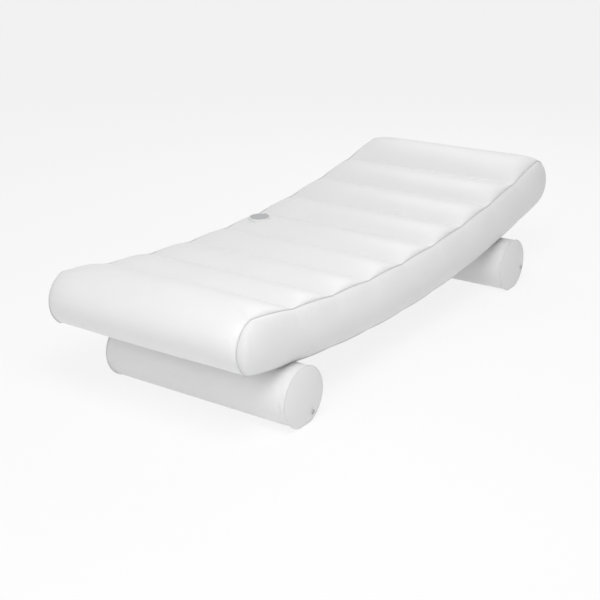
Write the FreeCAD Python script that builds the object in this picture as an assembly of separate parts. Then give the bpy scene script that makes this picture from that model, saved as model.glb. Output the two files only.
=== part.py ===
"""Inflatable sun lounger: a film mattress of nine channels on two inflated bolsters.

Millimetres, +Z up. X runs from the foot end (-X) to the head end (+X), Y from the right side (-Y)
to the left side (+Y). The origin is on the floor, below the middle of the lounger's own box.
"""
import FreeCAD
import Part

import math
import os

from FreeCAD import Vector

# Mattress
CHANNELS = 9                 # cross channels between the two end seams
CHANNEL_PITCH = 200.0        # from crease to crease, along the top seam
SAG_RADIUS = 4100.0          # radius of the hollow in which the top seam lies
MATTRESS_DEPTH = 160.0       # from the top seam down to the bottom seam
SEAM_WIDTH = 740.0           # from the right side seam to the left one
TOP_CROWN = 25.0             # swell of a channel's top above its two creases
BOTTOM_CROWN = 12.0          # swell of a channel's underside below its two creases
SEAM_CROWN = 4.0             # what is left of the swell at the side seams
END_SHARE = 0.8              # of that swell, what the first and last channels keep at the ends
END_BULGE = 68.0             # swell of the foot and head ends
SEAM_BULGE = 50.0            # what is left of it at the side seams
SIDE_BULGE = 36.0            # swell of the side panels
CHANNEL_ROUNDING = 105.0     # length over which a channel's end rounds down to the seam
SIDE_FLAT = 20.0             # half height of the flat strip along the middle of a side panel
FILM = 1.0                   # wall of every film piece
BAFFLE_GAP = 60.0            # air passage between a baffle's end and the side seam
FIN_WIDTH = 4.0              # film that stands out of a mattress seam
FIN_THICKNESS = 1.2

# Bolsters
BOLSTER_RADIUS = 94.0
BOLSTER_LENGTH = 710.0       # from weld ring to weld ring
BOLSTER_SHIFT = 65.0         # from the mattress's middle, to the right
BOLSTER_DOME = 12.0          # swell of an end disc
FRONT_BOLSTER_INSET = 210.0  # along the top seam, from its foot end
REAR_BOLSTER_INSET = 335.0   # and from its head end
RING_WIDTH = 2.5             # film that stands out of a bolster's weld ring
FOOT_FLAT = 0.5              # depth of the flat on which a bolster stands
STRIP_THICKNESS = 1.0        # weld strip, where bolster and mattress come closest
STRIP_WIDTH = 40.0
FIT = 0.05                   # clearance of pieces that are welded or pressed together
VALVE_FIT = 0.15             # clearance of the mattress valve on the film

# Mattress valve
VALVE_CHANNEL = 5            # counted from the foot end
VALVE_INSET = 75.0           # from the left side seam
COLLAR_RADIUS = 40.0
COLLAR_WALL = 5.0
COLLAR_RISE = 3.0            # above the channel's crest
CAP_THICKNESS = 1.8
CAP_GAP = 0.6                # round the cap, inside the collar
CAP_EDGE = 6.0               # from the hinge to the cap's straight edge
SEAT_RISE = 0.6              # top of the seat above the crest
NECK_RADIUS = 18.0
NECK_BORE = 12.0             # for a pump's nozzle
PLUG_BORE = 14.5             # wider mouth of the neck, for the cap's plug
PLUG_BORE_DEPTH = 1.6
NECK_DEPTH = 22.0            # below the crest
PLUG_GAP = 1.0               # between a plug and its bore, so that it swings out
CAP_PLUG_DEPTH = 1.4         # below the cap
CAP_HINGE_WIDTH = 14.0
CAP_PIN_RADIUS = 0.8
CAP_KNUCKLE_RADIUS = 1.4
CAP_PIN_GRIP = 3.0           # length of the pin in the collar, at each end
FLAP_THICKNESS = 1.5
FLAP_LAP = 3.0               # flap beyond the edge of the bore
FLAP_PIN_RADIUS = 0.9
FLAP_KNUCKLE_RADIUS = 1.8
FLAP_HINGE_WIDTH = 8.0
FLAP_LUG_WIDTH = 2.5

# Bolster valves
STEM_OFFSET = 66.0           # from the middle of the end disc
FRONT_STEM_ANGLE = -62.0     # from +X, up towards +Z
REAR_STEM_ANGLE = -22.0
BASE_RADIUS = 13.0
BASE_THICKNESS = 1.5
STEM_RADIUS = 6.0
STEM_BORE = 3.6
STEM_DEPTH = 16.0            # inside the bolster, pushed in
STOP_RADIUS = 8.0            # shoulder that keeps the stem in
STOP_THICKNESS = 1.5
LIP_RADIUS = 8.0
LIP_THICKNESS = 1.2
PLUG_THICKNESS = 1.5
PLUG_DEPTH = 2.2
PLUG_HINGE_WIDTH = 5.0
PLUG_PIN_RADIUS = 0.6
PLUG_KNUCKLE_RADIUS = 1.2
PLUG_EAR_WIDTH = 1.5

# Running clearances
HINGE_GAP = 0.1              # round a hinge pin
SIDE_GAP = 0.3               # beside a knuckle
SLIDE_GAP = 0.25             # round a sliding stem
LIFT_GAP = 0.2               # under a cap, plug or flap

# Worked out from the sizes above
HALF_WIDTH = SEAM_WIDTH / 2
BOTTOM_RADIUS = SAG_RADIUS + MATTRESS_DEPTH
PITCH_ANGLE = CHANNEL_PITCH / SAG_RADIUS
FRONT_BOLSTER_AT = FRONT_BOLSTER_INSET - CHANNELS * CHANNEL_PITCH / 2
REAR_BOLSTER_AT = CHANNELS * CHANNEL_PITCH / 2 - REAR_BOLSTER_INSET
BOLSTER_RIGHT = -BOLSTER_SHIFT - BOLSTER_LENGTH / 2
BOLSTER_LEFT = BOLSTER_RIGHT + BOLSTER_LENGTH
DOME_RADIUS = (BOLSTER_RADIUS ** 2 + BOLSTER_DOME ** 2) / (2 * BOLSTER_DOME)
BOLSTER_HEIGHT = BOLSTER_RADIUS - FOOT_FLAT


def ray(angle):
    """Direction from the hollow's centre down to the mattress, as (x, z)."""
    return math.sin(angle), -math.cos(angle)


def underside_arc():
    """Distance of a channel's underside arc's centre from the hollow's centre, and the arc's radius."""
    half_chord = BOTTOM_RADIUS * math.sin(PITCH_ANGLE / 2)
    arc_radius = (half_chord ** 2 + BOTTOM_CROWN ** 2) / (2 * BOTTOM_CROWN)
    lowest = BOTTOM_RADIUS * math.cos(PITCH_ANGLE / 2) + BOTTOM_CROWN
    return lowest - arc_radius, arc_radius


def channel_angle(channel):
    """Angle of a channel's middle before the mattress is levelled, counted from 0 at the foot end."""
    return (channel + 1 / 2 - CHANNELS / 2) * PITCH_ANGLE


def crease_angle(number):
    """Angle of a crease before the mattress is levelled: 0 is the foot end, CHANNELS the head end."""
    return (number - CHANNELS / 2) * PITCH_ANGLE


def bolster_reach(place):
    """Distance of a bolster's axis from the hollow's centre when it touches the mattress at a place."""
    angle = place / SAG_RADIUS
    centre, radius = underside_arc()
    touch = radius + STRIP_THICKNESS + BOLSTER_RADIUS
    reaches = []
    for channel in range(CHANNELS):
        off = angle - channel_angle(channel)
        side = centre * math.sin(off)
        if abs(side) < touch:
            reaches.append(centre * math.cos(off) + math.sqrt(touch ** 2 - side ** 2))
    return max(reaches)


def level_mattress():
    """Tilt of the mattress and height of the hollow's centre when it rests on both bolsters."""
    axes = []
    for place in (FRONT_BOLSTER_AT, REAR_BOLSTER_AT):
        reach = bolster_reach(place)
        x, z = ray(place / SAG_RADIUS)
        axes.append((reach * x, reach * z))
    (front_x, front_z), (rear_x, rear_z) = axes
    tilt = -math.atan2(rear_z - front_z, rear_x - front_x)
    front = ray(FRONT_BOLSTER_AT / SAG_RADIUS + tilt)
    return tilt, BOLSTER_HEIGHT - bolster_reach(FRONT_BOLSTER_AT) * front[1]


TILT, CENTRE_Z = level_mattress()


def end_extent(number, side):
    """Furthest x of an end's swell from the hollow's centre, with side -1 at the foot, 1 at the head."""
    angle = crease_angle(number) + TILT
    radius = ((MATTRESS_DEPTH / 2) ** 2 + END_BULGE ** 2) / (2 * END_BULGE)
    middle = (SAG_RADIUS + BOTTOM_RADIUS) / 2 * math.sin(angle)
    return middle + side * (END_BULGE - radius) * math.cos(angle) + side * radius


CENTRE_X = -(end_extent(0, -1) + end_extent(CHANNELS, 1)) / 2


def polar(radius, angle):
    """Point (x, z) at a radius from the hollow's centre, at a levelled angle."""
    x, z = ray(angle + TILT)
    return CENTRE_X + radius * x, CENTRE_Z + radius * z


def bolster_axis(place):
    """Place (x, z) of a bolster's axis."""
    return polar(bolster_reach(place), place / SAG_RADIUS)


def bolster_room(place):
    """Space that a bolster's tube takes, with its clearance."""
    x, z = bolster_axis(place)
    start = Vector(x, BOLSTER_RIGHT, z)
    return Part.makeCylinder(BOLSTER_RADIUS + FIT, BOLSTER_LENGTH, start, Vector(0, 1, 0))


class Span:
    """One swollen stretch of the mattress's outline, an arc from start to end."""

    def __init__(self, start, end, swell):
        self.start = start
        self.end = end
        chord = math.dist(start, end)
        self.along = ((end[0] - start[0]) / chord, (end[1] - start[1]) / chord)
        self.out = (-self.along[1], self.along[0])
        self.swell = swell
        self.turn = 2 * math.atan(2 * swell / chord)

    def apex(self, depth):
        """Middle of the arc, or of the arc a depth inside it."""
        lift = self.swell - depth
        return tuple((self.start[i] + self.end[i]) / 2 + lift * self.out[i] for i in (0, 1))

    def normal(self, side):
        """Outward direction at the start (side -1) or the end (side 1)."""
        cos, sin = math.cos(self.turn), math.sin(self.turn)
        return tuple(cos * self.out[i] + side * sin * self.along[i] for i in (0, 1))


def end_lifts(crown):
    """Lift of each top crease and crown of each channel, so that the end channels run on into the ends."""
    lift = END_SHARE * max(0.0, crown - SEAM_CROWN)
    lifts = [lift] + [0.0] * (CHANNELS - 1) + [lift]
    return lifts, [crown - (lifts[i] + lifts[i + 1]) / 2 for i in range(CHANNELS)]


def outline(top_crown, bottom_crown, bulge, inset=0.0):
    """Spans of the mattress's side view: foot end, channel tops, head end, channel undersides."""
    share = inset / (MATTRESS_DEPTH / 2)
    end_shift = (inset - bulge * share) / SAG_RADIUS
    step = (CHANNELS * PITCH_ANGLE - 2 * end_shift) / CHANNELS
    angles = [crease_angle(0) + end_shift + number * step for number in range(CHANNELS + 1)]
    lifts, crowns = end_lifts(top_crown)
    top = [polar(SAG_RADIUS + inset - lift, angle) for lift, angle in zip(lifts, angles)]
    bottom = [polar(BOTTOM_RADIUS - inset, angle) for angle in angles]
    spans = [Span(bottom[0], top[0], bulge * (1 - share))]
    spans += [Span(top[i], top[i + 1], crowns[i]) for i in range(CHANNELS)]
    spans += [Span(top[-1], bottom[-1], bulge * (1 - share))]
    spans += [Span(bottom[i + 1], bottom[i], bottom_crown) for i in reversed(range(CHANNELS))]
    return spans


def inner_corners(spans):
    """Start points of the spans, one film thickness inside."""
    corners = []
    for number, span in enumerate(spans):
        before, after = spans[number - 1].normal(1), span.normal(-1)
        reach = FILM / (1 + before[0] * after[0] + before[1] * after[1])
        corners.append(tuple(span.start[i] - reach * (before[i] + after[i]) for i in (0, 1)))
    return corners


def at(point, y):
    """A side view point (x, z) as a point in space."""
    return Vector(point[0], y, point[1])


def arc(start, apex, end, y):
    return Part.Arc(at(start, y), at(apex, y), at(end, y)).toShape()


def outline_wire(spans, y):
    """Closed wire round the outside."""
    return Part.Wire([arc(span.start, span.apex(0), span.end, y) for span in spans])


def band_wire(spans, first, last, y):
    """Closed wire round the film of the spans from first to last."""
    corners = inner_corners(spans)
    corners.append(corners[0])
    run = range(first, last + 1)
    edges = [arc(spans[i].start, spans[i].apex(0), spans[i].end, y) for i in run]
    edges.append(Part.LineSegment(at(spans[last].end, y), at(corners[last + 1], y)).toShape())
    edges += [arc(corners[i + 1], spans[i].apex(FILM), corners[i], y) for i in reversed(run)]
    edges.append(Part.LineSegment(at(corners[first], y), at(spans[first].start, y)).toShape())
    return Part.Wire(edges)


def rounding(distance):
    """Share of the full swell at a distance from the side seam, on a quarter of an ellipse."""
    left = max(0.0, 1 - distance / CHANNEL_ROUNDING)
    return math.sqrt(1 - left ** 2)


def stations():
    """Section planes across the mattress, as (y, share of the full swell)."""
    distances = [share * CHANNEL_ROUNDING for share in (0, 0.05, 0.2, 0.5, 1)]
    right = [(distance - HALF_WIDTH, rounding(distance)) for distance in distances]
    left = [(-y, share) for y, share in reversed(right)]
    return right + [(0.0, 1.0)] + left


def section(share):
    """Outline where a share of the full swell is reached."""
    return outline(SEAM_CROWN + share * (TOP_CROWN - SEAM_CROWN),
                   SEAM_CROWN + share * (BOTTOM_CROWN - SEAM_CROWN),
                   SEAM_BULGE + share * (END_BULGE - SEAM_BULGE))


def sheet(first, last):
    """Film of the spans from first to last, from side seam to side seam."""
    return Part.makeLoft([band_wire(section(share), first, last, y) for y, share in stations()], True)


def envelope():
    """Space that the top and bottom sheets close in, to their outer faces."""
    return Part.makeLoft([outline_wire(section(share), y) for y, share in stations()], True)


def side_cap(depth):
    """Swell of the left side panel, or the space a depth inside it."""
    cap_rise = SIDE_BULGE - depth
    half = MATTRESS_DEPTH / 2
    wires = []
    for share in (0.0, 0.3, 0.7, 1.0):
        inset = share * (half - SIDE_FLAT)
        rise = cap_rise * math.sqrt(1 - (1 - inset / half) ** 2) / math.sqrt(1 - (SIDE_FLAT / half) ** 2)
        crown = SEAM_CROWN * (1 - share)
        spans = outline(crown or FIT, crown or FIT, SEAM_BULGE, inset + depth)
        wires.append(outline_wire(spans, HALF_WIDTH + rise))
    return Part.makeLoft(wires, True)


def side_panel():
    """Left side panel, a swollen film from seam to seam."""
    return side_cap(0.0).cut(side_cap(FILM))


def seam_fin():
    """Thin fin of welded film that stands out all round the left side seam."""
    outer = outline(SEAM_CROWN, SEAM_CROWN, SEAM_BULGE, -FIN_WIDTH)
    inner = outline(SEAM_CROWN, SEAM_CROWN, SEAM_BULGE)
    face = Part.Face(outline_wire(outer, HALF_WIDTH)).cut(Part.Face(outline_wire(inner, HALF_WIDTH)))
    return face.extrude(Vector(0, FIN_THICKNESS, 0))


def clear_of_bolsters(fin):
    """A seam fin without what would be inside a bolster."""
    for place in (FRONT_BOLSTER_AT, REAR_BOLSTER_AT):
        fin = fin.cut(bolster_room(place))
    return fin


def mirrored(shape, y=0.0):
    """The same piece on the other side of an upright plane along the lounger."""
    return shape.mirror(Vector(0, y, 0), Vector(0, 1, 0))


def prism(points, y_start, y_end):
    """Solid between two planes across the mattress, from a side view polygon."""
    face = Part.Face(Part.makePolygon([at(point, y_start) for point in points + points[:1]]))
    return face.extrude(Vector(0, y_end - y_start, 0))


def baffle(number):
    """Inner web that ties a crease of the top sheet to the crease below it."""
    spans = section(1.0)
    top = inner_corners(spans)[1 + number]
    bottom = inner_corners(spans)[2 * CHANNELS + 2 - number]
    along = Span(bottom, top, FILM).along
    side = (along[1] * FILM / 2, -along[0] * FILM / 2)
    low = tuple(bottom[i] + FIT * along[i] for i in (0, 1))
    high = tuple(top[i] - FIT * along[i] for i in (0, 1))
    corners = [tuple(point[i] + sign * side[i] for i in (0, 1))
               for point, sign in ((low, -1), (low, 1), (high, 1), (high, -1))]
    return prism(corners, BAFFLE_GAP - HALF_WIDTH, HALF_WIDTH - BAFFLE_GAP)


def disc(radius, low, high, x=0.0):
    """Round plate or pin along local Z."""
    return Part.makeCylinder(radius, high - low, Vector(x, 0, low))


def cross_pin(radius, length, x, z):
    """Round bar along local Y, centred."""
    return Part.makeCylinder(radius, length, Vector(x, -length / 2, z), Vector(0, 1, 0))


def block(x_low, x_high, width, z_low, z_high):
    """Block centred across local Y."""
    return Part.makeBox(x_high - x_low, width, z_high - z_low, Vector(x_low, -width / 2, z_low))


def ears(x_low, x_high, inside, width, z_low, z_high):
    """Two blocks beside a knuckle."""
    pair = block(x_low, x_high, inside + 2 * width, z_low, z_high)
    return pair.cut(block(x_low, x_high, inside, z_low, z_high))


def above_floor(shape):
    """A bolster piece with the flat on which it stands."""
    reach = 2 * BOLSTER_LENGTH
    floor = Part.makeBox(reach, reach, reach, Vector(-reach / 2, -reach / 2, -reach))
    return shape.cut(floor.translated(Vector(shape.BoundBox.Center.x, 0, 0)))


def bolster_tube(x):
    """Film tube of a bolster."""
    start = Vector(x, BOLSTER_RIGHT, BOLSTER_HEIGHT)
    outer = Part.makeCylinder(BOLSTER_RADIUS, BOLSTER_LENGTH, start, Vector(0, 1, 0))
    inner = Part.makeCylinder(BOLSTER_RADIUS - FILM, BOLSTER_LENGTH, start, Vector(0, 1, 0))
    return above_floor(outer.cut(inner))


def dome_centre(x):
    """Centre of the sphere of a bolster's right end disc."""
    return Vector(x, BOLSTER_RIGHT - BOLSTER_DOME + DOME_RADIUS, BOLSTER_HEIGHT)


def bolster_end(x):
    """Domed disc on a bolster's right end."""
    centre = dome_centre(x)
    shell = Part.makeSphere(DOME_RADIUS, centre).cut(Part.makeSphere(DOME_RADIUS - FILM, centre))
    start = Vector(x, BOLSTER_RIGHT, BOLSTER_HEIGHT)
    room = Part.makeCylinder(BOLSTER_RADIUS, 2 * BOLSTER_DOME, start, Vector(0, -1, 0))
    return above_floor(shell.common(room))


def weld_ring(x):
    """Fin of film round the weld of a bolster's right end disc."""
    start = Vector(x, BOLSTER_RIGHT + FIN_THICKNESS, BOLSTER_HEIGHT)
    outer = Part.makeCylinder(BOLSTER_RADIUS + RING_WIDTH, FIN_THICKNESS, start, Vector(0, -1, 0))
    inner = Part.makeCylinder(BOLSTER_RADIUS + FIT, FIN_THICKNESS, start, Vector(0, -1, 0))
    return above_floor(outer.cut(inner))


def clear_of_mattress(shape, place):
    """A piece of a bolster without what would be inside the mattress."""
    centre, radius = underside_arc()
    for channel in range(CHANNELS):
        x, z = polar(centre, channel_angle(channel))
        if abs(x - bolster_axis(place)[0]) < CHANNEL_PITCH:
            room = Part.makeCylinder(radius + FIT, SEAM_WIDTH, Vector(x, -HALF_WIDTH, z), Vector(0, 1, 0))
            shape = shape.cut(room)
    return shape


def weld_strip(place):
    """Strip that fills the wedge between a bolster and the mattress, where both run straight."""
    right = max(CHANNEL_ROUNDING - HALF_WIDTH, BOLSTER_RIGHT + FIN_THICKNESS + FIT)
    left = min(HALF_WIDTH - CHANNEL_ROUNDING, BOLSTER_LEFT - FIN_THICKNESS - FIT)
    axis = bolster_axis(place)
    low = (axis[0], axis[1] + BOLSTER_RADIUS * math.cos(STRIP_WIDTH / BOLSTER_RADIUS))
    half = STRIP_WIDTH / 2
    high = low[1] + half
    corners = [(low[0] - half, low[1]), (low[0] + half, low[1]), (low[0] + half, high), (low[0] - half, high)]
    return clear_of_mattress(prism(corners, right, left).cut(bolster_room(place)), place)


def valve_place():
    """Local frame of the mattress valve: origin on its channel's crest, Z outwards, X to the head."""
    angle = channel_angle(VALVE_CHANNEL - 1)
    origin = at(polar(SAG_RADIUS * math.cos(PITCH_ANGLE / 2) - TOP_CROWN, angle), HALF_WIDTH - VALVE_INSET)
    return FreeCAD.Placement(origin, FreeCAD.Rotation(Vector(0, 1, 0), -math.degrees(angle + TILT)))


def cap_hinge():
    """Local (x, z) of the cap's hinge, in the middle of the collar's wall."""
    return COLLAR_RADIUS - COLLAR_WALL / 2, COLLAR_RISE - CAP_KNUCKLE_RADIUS


def flap_hinge():
    """Local (x, z) of the check flap's hinge, beside the neck's foot."""
    return NECK_RADIUS + FLAP_KNUCKLE_RADIUS, -NECK_DEPTH - LIFT_GAP - FLAP_THICKNESS / 2


def valve_collar():
    """Raised ring round the valve, with the notch and the holes of the cap's hinge."""
    hinge_x, hinge_z = cap_hinge()
    ring = disc(COLLAR_RADIUS, -NECK_DEPTH, COLLAR_RISE)
    ring = ring.cut(disc(COLLAR_RADIUS - COLLAR_WALL, -NECK_DEPTH, COLLAR_RISE))
    notch_low = hinge_z - CAP_KNUCKLE_RADIUS - SIDE_GAP
    notch = block(0, 2 * COLLAR_RADIUS, CAP_HINGE_WIDTH, notch_low, 2 * COLLAR_RISE)
    bore = cross_pin(CAP_PIN_RADIUS + FIT, CAP_HINGE_WIDTH + 2 * CAP_PIN_GRIP, hinge_x, hinge_z)
    return ring.cut(notch).cut(bore)


def valve_plate():
    """Plate inside the collar, before its underside is fitted to the film."""
    plate = disc(COLLAR_RADIUS - COLLAR_WALL - FIT, -NECK_DEPTH, SEAT_RISE)
    return plate.cut(disc(PLUG_BORE, -NECK_DEPTH, SEAT_RISE))


def valve_neck():
    """Neck that goes down from the plate through the film, with the lugs of the check flap."""
    hinge_x, hinge_z = flap_hinge()
    inside = FLAP_HINGE_WIDTH + 2 * SIDE_GAP
    lug_top = hinge_z + NECK_DEPTH / 2
    lug_low = hinge_z - FLAP_KNUCKLE_RADIUS
    lugs = ears(0, hinge_x + FLAP_KNUCKLE_RADIUS, inside, FLAP_LUG_WIDTH, lug_low, lug_top)
    lugs = lugs.cut(disc(NECK_BORE + FLAP_LAP + SIDE_GAP, 2 * lug_low, -NECK_DEPTH))
    neck = disc(NECK_RADIUS, -NECK_DEPTH, SEAT_RISE).fuse(lugs)
    neck = neck.cut(disc(NECK_BORE, -2 * NECK_DEPTH, SEAT_RISE))
    neck = neck.cut(disc(PLUG_BORE, SEAT_RISE - PLUG_BORE_DEPTH, SEAT_RISE))
    return neck.cut(cross_pin(FLAP_PIN_RADIUS + FIT, inside + 2 * FLAP_LUG_WIDTH, hinge_x, hinge_z))


def valve_cap():
    """Grey cap with its plug and its knuckle."""
    hinge_x, hinge_z = cap_hinge()
    low = SEAT_RISE + LIFT_GAP
    cap = disc(COLLAR_RADIUS - COLLAR_WALL - CAP_GAP, low, low + CAP_THICKNESS)
    cap = cap.cut(block(hinge_x - CAP_EDGE, hinge_x, 2 * COLLAR_RADIUS, low, low + CAP_THICKNESS))
    cap = cap.fuse(disc(PLUG_BORE - PLUG_GAP, low - CAP_PLUG_DEPTH, low))
    width = CAP_HINGE_WIDTH - 2 * SIDE_GAP
    cap = cap.fuse(block(COLLAR_RADIUS / 2, hinge_x, width, hinge_z - CAP_PIN_RADIUS, low + CAP_THICKNESS))
    cap = cap.fuse(cross_pin(CAP_KNUCKLE_RADIUS, width, hinge_x, hinge_z))
    return cap.cut(cross_pin(CAP_PIN_RADIUS + HINGE_GAP, width, hinge_x, hinge_z)).removeSplitter()


def valve_cap_pin():
    return cross_pin(CAP_PIN_RADIUS, CAP_HINGE_WIDTH + 2 * CAP_PIN_GRIP, *cap_hinge())


def valve_flap():
    """Check flap, which closes the neck from inside."""
    hinge_x, hinge_z = flap_hinge()
    high = -NECK_DEPTH - LIFT_GAP
    flap = disc(NECK_BORE + FLAP_LAP, high - FLAP_THICKNESS, high)
    flap = flap.fuse(block(0, hinge_x, FLAP_HINGE_WIDTH, high - FLAP_THICKNESS, high))
    flap = flap.fuse(cross_pin(FLAP_KNUCKLE_RADIUS, FLAP_HINGE_WIDTH, hinge_x, hinge_z))
    flap = flap.cut(cross_pin(FLAP_PIN_RADIUS + HINGE_GAP, FLAP_HINGE_WIDTH, hinge_x, hinge_z))
    return flap.removeSplitter()


def valve_flap_pin():
    length = FLAP_HINGE_WIDTH + 2 * SIDE_GAP + 2 * FLAP_LUG_WIDTH
    return cross_pin(FLAP_PIN_RADIUS, length, *flap_hinge())


def stem_place(x, angle):
    """Local frame of a bolster's valve: origin on the end disc, Z out of it, X to the disc's middle."""
    turn = math.radians(angle)
    out = Vector(math.cos(turn), 0, math.sin(turn))
    lean = math.asin(STEM_OFFSET / DOME_RADIUS)
    normal = out * math.sin(lean) + Vector(0, -1, 0) * math.cos(lean)
    inward = Vector(0, -1, 0) * math.sin(lean) - out * math.cos(lean)
    origin = dome_centre(x) + normal * DOME_RADIUS
    return FreeCAD.Placement(origin, FreeCAD.Rotation(inward, normal.cross(inward), normal, "ZXY"))


def stem_lip():
    """Local z of the underside and of the top of a stem's lip."""
    low = BASE_THICKNESS + LIFT_GAP
    return low, low + LIP_THICKNESS


def plug_hinge():
    """Local (x, z) of a plug's hinge, beside the stem's lip."""
    return LIP_RADIUS + PLUG_KNUCKLE_RADIUS, stem_lip()[1] + LIFT_GAP + PLUG_KNUCKLE_RADIUS


def stem_base():
    """Flange of a bolster's valve, welded on the end disc."""
    centre = Vector(0, 0, -DOME_RADIUS)
    shell = Part.makeSphere(DOME_RADIUS + BASE_THICKNESS, centre).cut(Part.makeSphere(DOME_RADIUS, centre))
    ring = disc(BASE_RADIUS, -BASE_RADIUS, BASE_RADIUS)
    ring = ring.cut(disc(STEM_RADIUS + SLIDE_GAP, -BASE_RADIUS, BASE_RADIUS))
    return shell.common(ring)


def stem():
    """Sliding stem with its stop, its lip and the ears of the plug's hinge."""
    low, high = stem_lip()
    hinge_x, hinge_z = plug_hinge()
    inside = PLUG_HINGE_WIDTH + 2 * SIDE_GAP
    body = disc(STEM_RADIUS, -STEM_DEPTH, high)
    body = body.fuse(disc(STOP_RADIUS, -STEM_DEPTH, STOP_THICKNESS - STEM_DEPTH))
    body = body.fuse(disc(LIP_RADIUS, low, high))
    ear_high = hinge_z + PLUG_KNUCKLE_RADIUS
    pair = ears(STEM_RADIUS, hinge_x + PLUG_KNUCKLE_RADIUS, inside, PLUG_EAR_WIDTH, low, ear_high)
    body = body.fuse(pair).cut(disc(STEM_BORE, -STEM_DEPTH, high))
    body = body.cut(cross_pin(PLUG_PIN_RADIUS + FIT, inside + 2 * PLUG_EAR_WIDTH, hinge_x, hinge_z))
    return body.removeSplitter()


def stem_plug():
    """Plug that closes a stem, with its knuckle."""
    low = stem_lip()[1] + LIFT_GAP
    hinge_x, hinge_z = plug_hinge()
    beyond = 2 * LIP_RADIUS
    ear_room = ears(STEM_RADIUS - SIDE_GAP, beyond, PLUG_HINGE_WIDTH, beyond, low, beyond)
    plug = disc(LIP_RADIUS, low, low + PLUG_THICKNESS).cut(ear_room)
    plug = plug.fuse(disc(STEM_BORE - PLUG_GAP / 2, low - PLUG_DEPTH, low))
    plug = plug.fuse(block(0, hinge_x, PLUG_HINGE_WIDTH, low, low + PLUG_THICKNESS))
    plug = plug.fuse(cross_pin(PLUG_KNUCKLE_RADIUS, PLUG_HINGE_WIDTH, hinge_x, hinge_z))
    plug = plug.cut(cross_pin(PLUG_PIN_RADIUS + HINGE_GAP, PLUG_HINGE_WIDTH, hinge_x, hinge_z))
    return plug.removeSplitter()


def stem_pin():
    length = PLUG_HINGE_WIDTH + 2 * SIDE_GAP + 2 * PLUG_EAR_WIDTH
    return cross_pin(PLUG_PIN_RADIUS, length, *plug_hinge())


def placed(shape, place):
    """A piece built in its local frame, at its place on the lounger."""
    shape = shape.copy()
    shape.Placement = place.multiply(shape.Placement)
    return shape


def mattress():
    """Film pieces of the mattress, with the valve's hole in the top sheet."""
    hole = placed(disc(NECK_RADIUS + FIT, -NECK_DEPTH, NECK_DEPTH), valve_place())
    panel, fin = side_panel(), seam_fin()
    nodes = {
        "mattress_top_sheet": sheet(0, CHANNELS + 1).cut(hole),
        "mattress_bottom_sheet": sheet(CHANNELS + 2, 2 * CHANNELS + 1),
        "left_side_panel": panel,
        "right_side_panel": mirrored(panel),
        "left_seam_fin": clear_of_bolsters(fin),
        "right_seam_fin": clear_of_bolsters(mirrored(fin)),
    }
    for number in range(1, CHANNELS):
        nodes[f"baffle_{number}"] = baffle(number)
    return nodes


def mattress_valve():
    """Pieces of the mattress's valve, with collar and seat fitted to the film below them."""
    place = valve_place()
    film = envelope().translated(place.Rotation.multVec(Vector(0, 0, VALVE_FIT)))
    plate = placed(valve_plate(), place).cut(film)
    return {
        "mattress_valve_collar": placed(valve_collar(), place).cut(film),
        "mattress_valve_seat": plate.fuse(placed(valve_neck(), place)).removeSplitter(),
        "mattress_valve_cap": placed(valve_cap(), place),
        "mattress_valve_cap_pin": placed(valve_cap_pin(), place),
        "mattress_valve_flap": placed(valve_flap(), place),
        "mattress_valve_flap_pin": placed(valve_flap_pin(), place),
    }


def bolster(name, position, stem_angle):
    """Pieces of one bolster and its valve."""
    x = bolster_axis(position)[0]
    place = stem_place(x, stem_angle)
    hole = placed(disc(STEM_RADIUS + SLIDE_GAP, -STEM_DEPTH, STEM_DEPTH), place)
    end, ring = bolster_end(x), weld_ring(x)
    return {
        f"{name}_bolster_tube": bolster_tube(x),
        f"{name}_bolster_right_end": end.cut(hole),
        f"{name}_bolster_left_end": mirrored(end, -BOLSTER_SHIFT),
        f"{name}_bolster_right_ring": clear_of_mattress(ring, position),
        f"{name}_bolster_left_ring": clear_of_mattress(mirrored(ring, -BOLSTER_SHIFT), position),
        f"{name}_weld_strip": weld_strip(position),
        f"{name}_valve_base": placed(stem_base(), place),
        f"{name}_valve_stem": placed(stem(), place),
        f"{name}_valve_plug": placed(stem_plug(), place),
        f"{name}_valve_plug_pin": placed(stem_pin(), place),
    }


def side_middle(shapes):
    """Middle of the lounger's own box across its width."""
    boxes = [shape.BoundBox for shape in shapes]
    return (min(box.YMin for box in boxes) + max(box.YMax for box in boxes)) / 2


def lounger():
    """Every piece of the lounger by name, with the origin below the middle of its box."""
    nodes = mattress()
    nodes.update(mattress_valve())
    nodes.update(bolster("front", FRONT_BOLSTER_AT, FRONT_STEM_ANGLE))
    nodes.update(bolster("rear", REAR_BOLSTER_AT, REAR_STEM_ANGLE))
    middle = side_middle(nodes.values())
    return {name: shape.translated(Vector(0, -middle, 0)) for name, shape in nodes.items()}


def main():
    os.makedirs("parts", exist_ok=True)
    for name, shape in lounger().items():
        solids = shape.Solids
        print(name, "solids", len(solids), "valid", shape.isValid(), "volume", round(shape.Volume, 1))
        shape.exportStep(f"parts/{name}.step")


main()
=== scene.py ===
# %% [markdown]
# An inflatable sun lounger: a long white mattress of nine cross channels, hollow in the middle like
# a shallow bowl, lies across two inflated bolsters. The imported model gives every piece its place, so
# the lesson starts by loading it. Everything is then deselected, because an operator acts on all that
# is selected.

# %% Load the frame
import bpy
import math
import numpy as np
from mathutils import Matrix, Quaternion, Vector


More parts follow.
